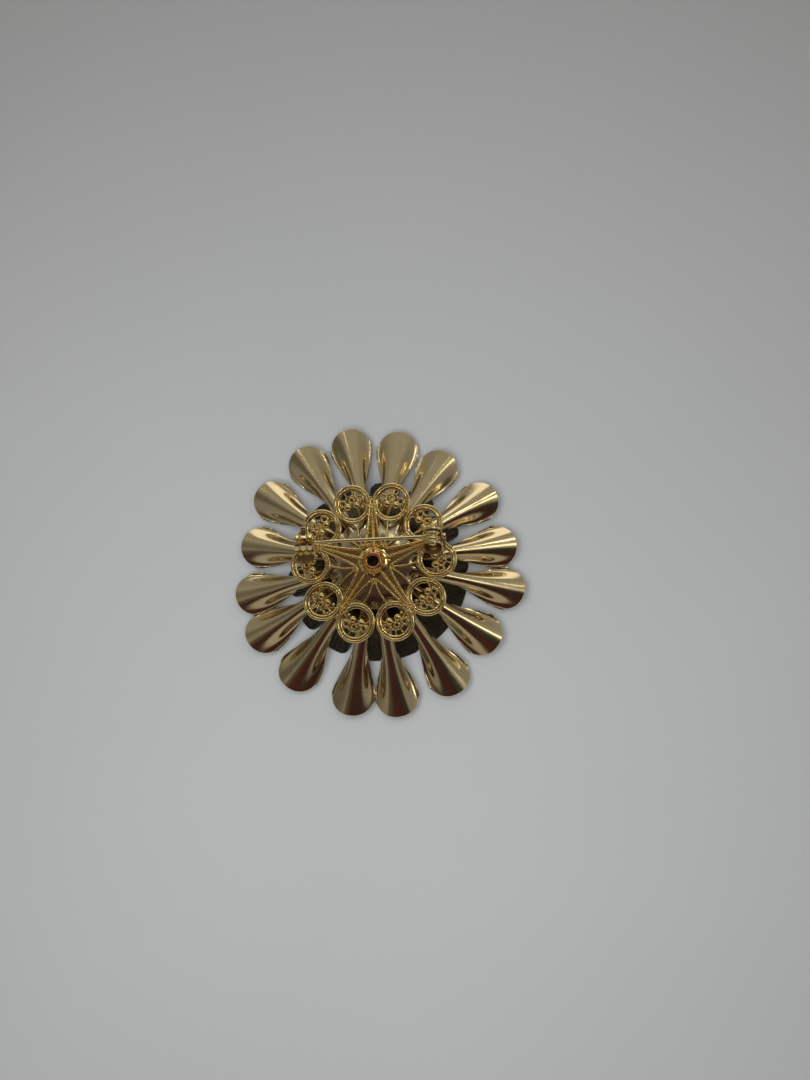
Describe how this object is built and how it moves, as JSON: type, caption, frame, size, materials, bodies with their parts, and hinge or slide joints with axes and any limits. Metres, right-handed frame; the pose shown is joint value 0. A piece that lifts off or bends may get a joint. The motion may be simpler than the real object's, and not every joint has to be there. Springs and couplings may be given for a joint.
{
  "type": "flower brooch",
  "caption": "Gilt metal flower brooch with curled trumpet petals, a pierced filigree back plate, and a hinged pin that closes into a turning safety catch.",
  "frame": {"origin": "on the surface that the front of the flower rests on, under the middle of the flower", "axes": "+Z out of the brooch's back, +X along the pin from its point towards its hinge, +Y to the top of the brooch"},
  "size_m": [0.0636, 0.0647, 0.0159],
  "materials": {
    "polished_gold": "mirror-polished champagne gold plate",
    "stamped_gold": "bright stamped gold plate",
    "filigree_gold": "bright yellow gold plate with beaded wires",
    "copper_rivet": "copper-toned brass, rolled",
    "findings_gold": "polished pale gold plate",
    "pearl": "imitation pearl lacquer"
  },
  "bodies": {
    "flower": {"outer_petals": "polished_gold", "ribbed_petals": "stamped_gold", "inner_petals": "stamped_gold", "spacer_washer": "stamped_gold", "centre_cup": "stamped_gold", "centre_pearl": "pearl", "tubular_rivet": "copper_rivet", "filigree_plate": "filigree_gold", "joint_base": "findings_gold", "joint_rivet": "findings_gold", "catch_base": "findings_gold"},
    "pin": {"pin_stem": "findings_gold"},
    "sleeve": {"catch_sleeve": "findings_gold"}
  },
  "joints": [
    {"name": "pin_swing", "type": "hinge", "parent": "flower", "child": "pin", "pos_m": [0.0129, 0.0043, 0.014], "axis": [0, 1, 0], "range_deg": [0, 100]},
    {"name": "catch_turn", "type": "hinge", "parent": "flower", "child": "sleeve", "pos_m": [-0.0144, 0.0043, 0.014], "axis": [1, 0, 0], "range_deg": [0, 100]}
  ]
}
